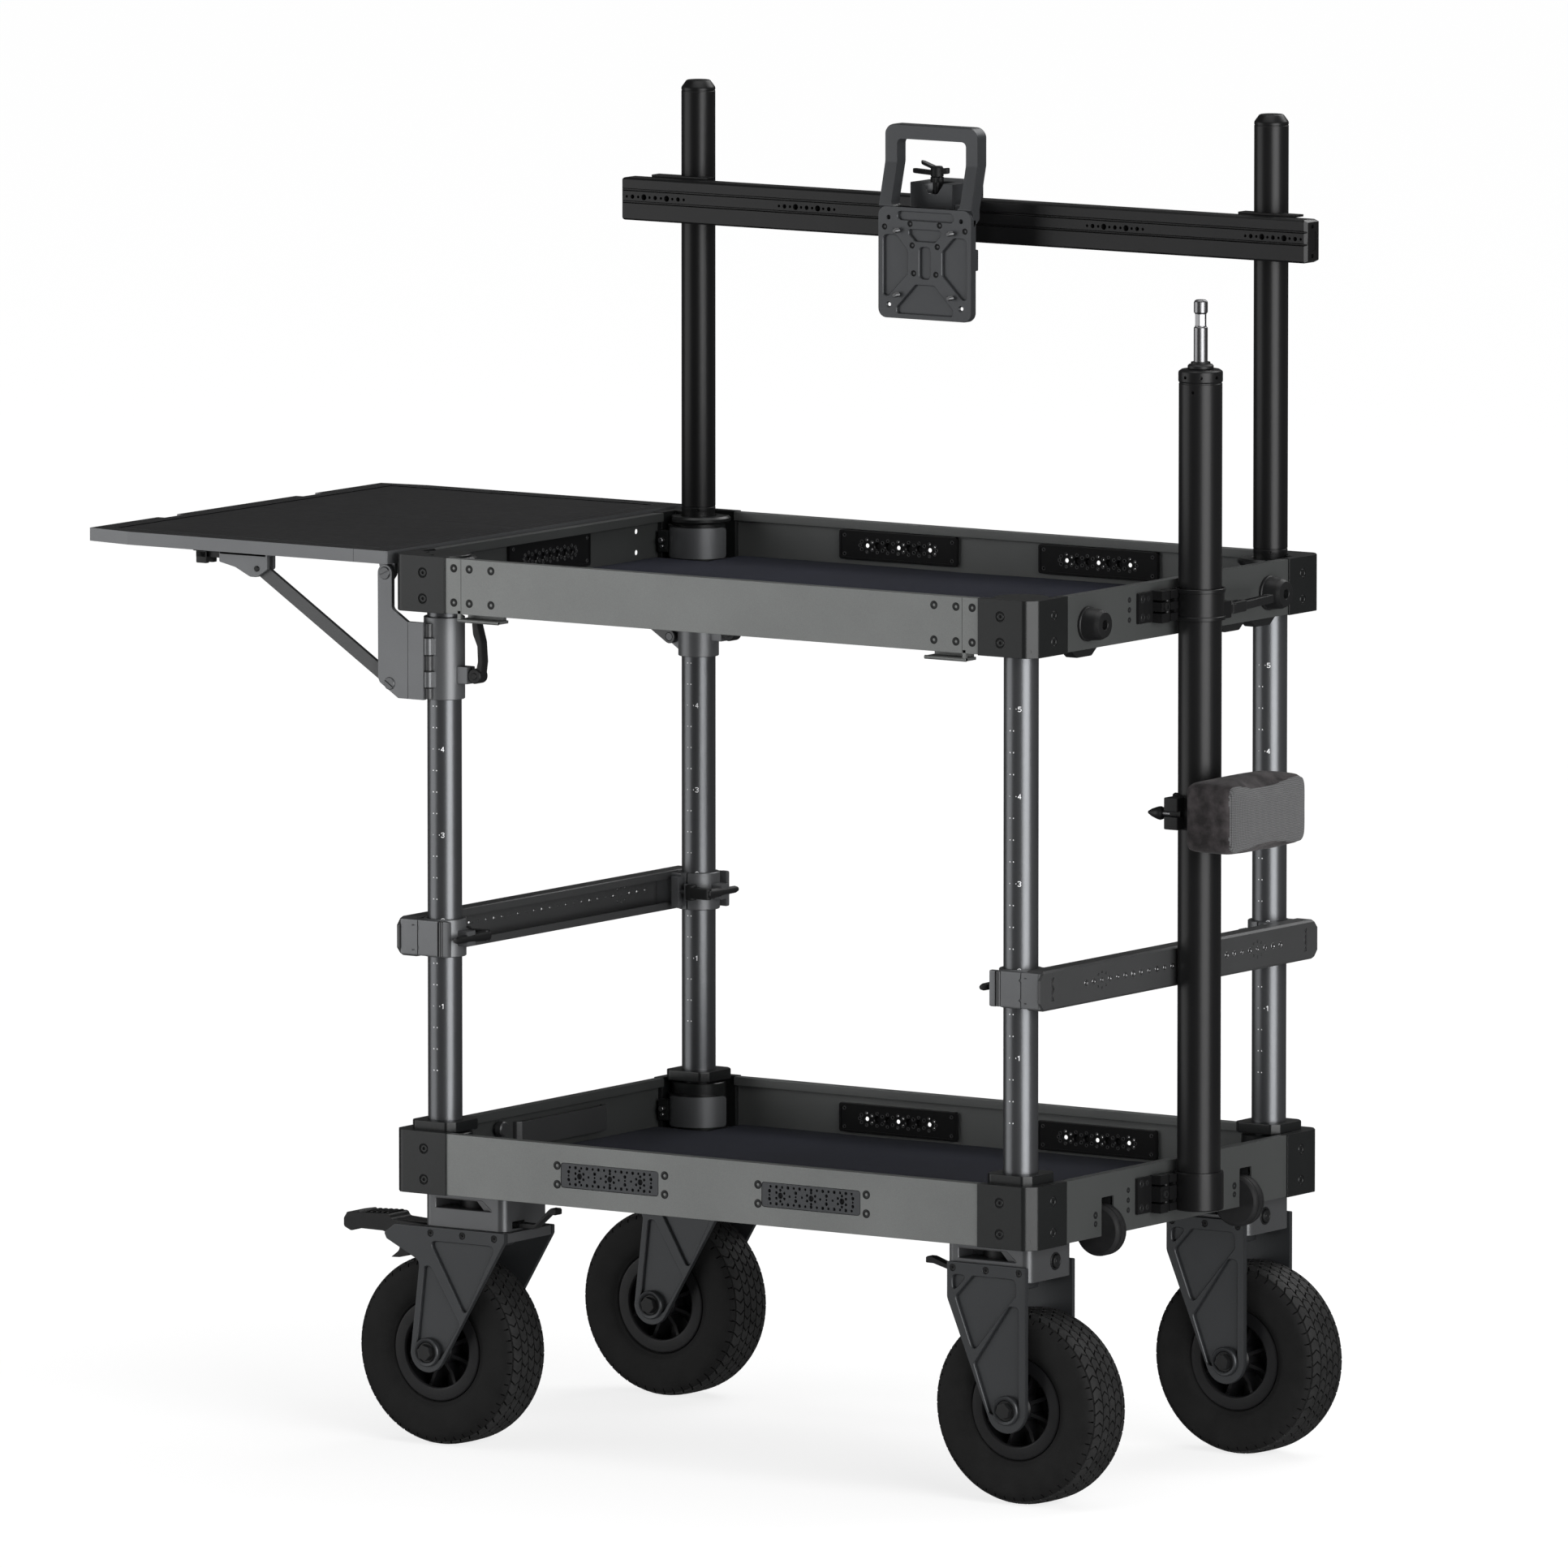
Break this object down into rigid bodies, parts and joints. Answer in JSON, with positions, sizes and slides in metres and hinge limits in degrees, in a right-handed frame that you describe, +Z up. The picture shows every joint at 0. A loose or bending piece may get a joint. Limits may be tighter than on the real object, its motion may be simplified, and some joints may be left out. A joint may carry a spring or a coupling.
{
  "type": "camera cart",
  "caption": "Camera cart with upper and lower trays on tube legs, swivel wheels, folding side table, monitor bar with plate, and a mast.",
  "frame": {"origin": "on the floor, under the middle of the whole cart with its side table and pad", "axes": "+X along the cart towards the mast end, +Y towards the posts at the back, +Z up"},
  "size_m": [1.449, 0.61, 1.556],
  "materials": {
    "tray_grey": "anodised grey, fine grain",
    "casting_black": "charcoal powder coat",
    "leg_grey": "dark grey anodised tube",
    "black_metal": "satin black anodised",
    "head_grey": "light grey anodised",
    "fork_grey": "dark blue-grey powder coat",
    "table_grey": "dark grey anodised edge",
    "table_inlay": "black textured sheet",
    "mount_grey": "charcoal anodised",
    "rim_black": "moulded black",
    "tyre_black": "matt rubber",
    "rubber": "black rubber",
    "black_plastic": "moulded black",
    "felt": "dark navy felt",
    "suede": "warm dark grey suede and mesh",
    "chrome": "polished",
    "steel": "bright steel screws"
  },
  "bodies": {
    "cart": {"lower_tray": "tray_grey", "lower_mat": "felt", "upper_tray": "tray_grey", "upper_mat": "felt", "leg_front_left": "leg_grey", "leg_front_right": "leg_grey", "leg_rear_left": "leg_grey", "leg_rear_right": "leg_grey", "post_left": "black_metal", "post_right": "black_metal", "caster_head_front_left": "head_grey", "caster_head_rear_left": "head_grey", "table_bracket_front": "fork_grey", "table_bracket_rear": "fork_grey", "mast_socket": "black_metal", "mast_clamp": "black_metal"},
    "fork_front_left": {"caster_fork_front_left": "fork_grey"},
    "wheel_front_left": {"wheel_rim_front_left": "rim_black", "tyre_front_left": "tyre_black"},
    "latch_front_left": {"latch_lever_front_left": "black_plastic"},
    "button_front_left": {"release_button_front_left": "black_plastic"},
    "pedal_front": {"brake_pedal_front": "black_plastic"},
    "fork_rear_left": {"caster_fork_rear_left": "fork_grey"},
    "wheel_rear_left": {"wheel_rim_rear_left": "rim_black", "tyre_rear_left": "tyre_black"},
    "latch_rear_left": {"latch_lever_rear_left": "black_plastic"},
    "button_rear_left": {"release_button_rear_left": "black_plastic"},
    "pedal_rear": {"brake_pedal_rear": "black_plastic"},
    "fork_front_right": {"caster_head_front_right": "head_grey", "caster_fork_front_right": "fork_grey"},
    "wheel_front_right": {"wheel_rim_front_right": "rim_black", "tyre_front_right": "tyre_black"},
    "latch_front_right": {"latch_lever_front_right": "black_plastic"},
    "button_front_right": {"release_button_front_right": "black_plastic"},
    "fork_rear_right": {"caster_head_rear_right": "head_grey", "caster_fork_rear_right": "fork_grey"},
    "wheel_rear_right": {"wheel_rim_rear_right": "rim_black", "tyre_rear_right": "tyre_black"},
    "latch_rear_right": {"latch_lever_rear_right": "black_plastic"},
    "button_rear_right": {"release_button_rear_right": "black_plastic"},
    "strut_front": {"table_strut_front": "fork_grey"},
    "table_lever_front": {"table_clamp_lever_front": "black_plastic"},
    "strut_rear": {"table_strut_rear": "fork_grey"},
    "table_lever_rear": {"table_clamp_lever_rear": "black_plastic"},
    "table": {"side_table": "table_grey"},
    "crossbar_left": {"crossbar_left": "fork_grey"},
    "crossbar_right": {"crossbar_right": "fork_grey"},
    "monitor_bar": {"monitor_bar": "black_metal"},
    "carriage": {"monitor_carriage": "mount_grey"},
    "monitor_plate": {"monitor_plate": "mount_grey"},
    "monitor_lever": {"monitor_clamp_lever": "black_plastic"},
    "mast": {"mast_tube": "black_metal", "baby_pin": "chrome"},
    "pad": {"bump_pad": "suede", "pad_clamp": "black_metal"},
    "pad_knob": {"pad_knob": "black_plastic"},
    "mast_lever": {"mast_clamp_lever": "black_plastic"},
    "drop_panel": {"drop_panel": "tray_grey"},
    "roller_front": {"roller_front": "rubber"},
    "roller_rear": {"roller_rear": "rubber"}
  },
  "joints": [
    {"name": "swivel_front_left", "type": "hinge", "parent": "cart", "child": "fork_front_left", "pos_m": [-0.207, -0.2293, 0.26], "axis": [0, 0, 1], "continuous": true},
    {"name": "spin_front_left", "type": "hinge", "parent": "fork_front_left", "child": "wheel_front_left", "pos_m": [-0.255, -0.2293, 0.112], "axis": [0, 1, 0], "continuous": true},
    {"name": "latch_swing_front_left", "type": "hinge", "parent": "cart", "child": "latch_front_left", "pos_m": [-0.1427, -0.2463, 0.266], "axis": [0, 0, 1], "range_deg": [0, 25]},
    {"name": "button_press_front_left", "type": "slide", "parent": "cart", "child": "button_front_left", "axis": [1, 0, 0], "range_m": [0, 0.003], "stiffness_N_per_m": 400, "springref_m": -0.002},
    {"name": "brake_front", "type": "hinge", "parent": "fork_front_left", "child": "pedal_front", "pos_m": [-0.292, -0.2293, 0.2497], "axis": [0, -1, 0], "range_deg": [0, 8]},
    {"name": "swivel_rear_left", "type": "hinge", "parent": "cart", "child": "fork_rear_left", "pos_m": [-0.207, 0.2293, 0.26], "axis": [0, 0, 1], "continuous": true},
    {"name": "spin_rear_left", "type": "hinge", "parent": "fork_rear_left", "child": "wheel_rear_left", "pos_m": [-0.255, 0.2293, 0.112], "axis": [0, 1, 0], "continuous": true},
    {"name": "latch_swing_rear_left", "type": "hinge", "parent": "cart", "child": "latch_rear_left", "pos_m": [-0.1427, 0.2463, 0.266], "axis": [0, 0, -1], "range_deg": [0, 25]},
    {"name": "button_press_rear_left", "type": "slide", "parent": "cart", "child": "button_rear_left", "axis": [1, 0, 0], "range_m": [0, 0.003], "stiffness_N_per_m": 400, "springref_m": -0.002},
    {"name": "brake_rear", "type": "hinge", "parent": "fork_rear_left", "child": "pedal_rear", "pos_m": [-0.292, 0.2293, 0.2497], "axis": [0, -1, 0], "range_deg": [0, 8]},
    {"name": "swivel_front_right", "type": "hinge", "parent": "cart", "child": "fork_front_right", "pos_m": [0.522, -0.2293, 0.26], "axis": [0, 0, 1], "continuous": true},
    {"name": "spin_front_right", "type": "hinge", "parent": "fork_front_right", "child": "wheel_front_right", "pos_m": [0.5515, -0.2293, 0.112], "axis": [0, 1, 0], "continuous": true},
    {"name": "latch_swing_front_right", "type": "hinge", "parent": "fork_front_right", "child": "latch_front_right", "pos_m": [0.4577, -0.2463, 0.266], "axis": [0, 0, -1], "range_deg": [0, 25]},
    {"name": "button_press_front_right", "type": "slide", "parent": "fork_front_right", "child": "button_front_right", "axis": [-1, 0, 0], "range_m": [0, 0.003], "stiffness_N_per_m": 400, "springref_m": -0.002},
    {"name": "swivel_rear_right", "type": "hinge", "parent": "cart", "child": "fork_rear_right", "pos_m": [0.522, 0.2293, 0.26], "axis": [0, 0, 1], "continuous": true},
    {"name": "spin_rear_right", "type": "hinge", "parent": "fork_rear_right", "child": "wheel_rear_right", "pos_m": [0.5515, 0.2293, 0.112], "axis": [0, 1, 0], "continuous": true},
    {"name": "latch_swing_rear_right", "type": "hinge", "parent": "fork_rear_right", "child": "latch_rear_right", "pos_m": [0.4577, 0.2463, 0.266], "axis": [0, 0, 1], "range_deg": [0, 25]},
    {"name": "button_press_rear_right", "type": "slide", "parent": "fork_rear_right", "child": "button_rear_right", "axis": [-1, 0, 0], "range_m": [0, 0.003], "stiffness_N_per_m": 400, "springref_m": -0.002},
    {"name": "table_fold", "type": "hinge", "parent": "cart", "child": "table", "pos_m": [-0.3051, 0, 1.0206], "axis": [0, -1, 0], "range_deg": [0, 90]},
    {"name": "strut_fold_front", "type": "hinge", "parent": "cart", "child": "strut_front", "pos_m": [-0.2985, -0.2827, 0.8924], "axis": [0, -1, 0], "range_deg": [0, 123]},
    {"name": "table_lever_front", "type": "hinge", "parent": "cart", "child": "table_lever_front", "pos_m": [-0.1955, -0.2606, 0.905], "axis": [0, 1, 0], "range_deg": [0, 90]},
    {"name": "strut_fold_rear", "type": "hinge", "parent": "cart", "child": "strut_rear", "pos_m": [-0.2985, 0.2827, 0.8924], "axis": [0, -1, 0], "range_deg": [0, 123]},
    {"name": "table_lever_rear", "type": "hinge", "parent": "cart", "child": "table_lever_rear", "pos_m": [-0.1955, 0.2606, 0.905], "axis": [0, 1, 0], "range_deg": [0, 90]},
    {"name": "crossbar_left_height", "type": "slide", "parent": "cart", "child": "crossbar_left", "axis": [0, 0, 1], "range_m": [-0.18, 0.03]},
    {"name": "crossbar_right_height", "type": "slide", "parent": "cart", "child": "crossbar_right", "axis": [0, 0, 1], "range_m": [-0.18, 0.05]},
    {"name": "monitor_bar_height", "type": "slide", "parent": "cart", "child": "monitor_bar", "axis": [0, 0, 1], "range_m": [-0.28, 0.1]},
    {"name": "carriage_slide", "type": "slide", "parent": "monitor_bar", "child": "carriage", "axis": [1, 0, 0], "range_m": [-0.32, 0.32]},
    {"name": "monitor_tilt", "type": "hinge", "parent": "carriage", "child": "monitor_plate", "pos_m": [0.1575, 0.164, 1.4], "axis": [1, 0, 0], "range_deg": [-15, 15]},
    {"name": "monitor_lever", "type": "hinge", "parent": "carriage", "child": "monitor_lever", "pos_m": [0.1415, 0.19, 1.467], "axis": [0, 0, 1], "range_deg": [-60, 60]},
    {"name": "mast_lift", "type": "slide", "parent": "cart", "child": "mast", "axis": [0, 0, 1], "range_m": [0, 0.035]},
    {"name": "pad_height", "type": "slide", "parent": "mast", "child": "pad", "axis": [0, 0, 1], "range_m": [-0.08, 0.13]},
    {"name": "pad_knob_turn", "type": "hinge", "parent": "pad", "child": "pad_knob", "pos_m": [0.5915, -0.033, 0.777], "axis": [1, 0, 0], "continuous": true},
    {"name": "mast_lever", "type": "hinge", "parent": "cart", "child": "mast_lever", "pos_m": [0.6475, 0.0363, 1.01], "axis": [0, 0, -1], "range_deg": [0, 80]},
    {"name": "drop_panel_fold", "type": "hinge", "parent": "cart", "child": "drop_panel", "pos_m": [0.1575, -0.3006, 0.979], "axis": [1, 0, 0], "range_deg": [0, 90]},
    {"name": "roller_spin_front", "type": "hinge", "parent": "cart", "child": "roller_front", "pos_m": [0.5916, -0.145, 0.308], "axis": [0, 1, 0], "continuous": true},
    {"name": "roller_spin_rear", "type": "hinge", "parent": "cart", "child": "roller_rear", "pos_m": [0.5916, 0.145, 0.308], "axis": [0, 1, 0], "continuous": true}
  ],
  "couplings": [
    {"joint": "strut_fold_front", "follows": "table_fold", "ratio": 1.364},
    {"joint": "strut_fold_rear", "follows": "table_fold", "ratio": 1.364}
  ]
}
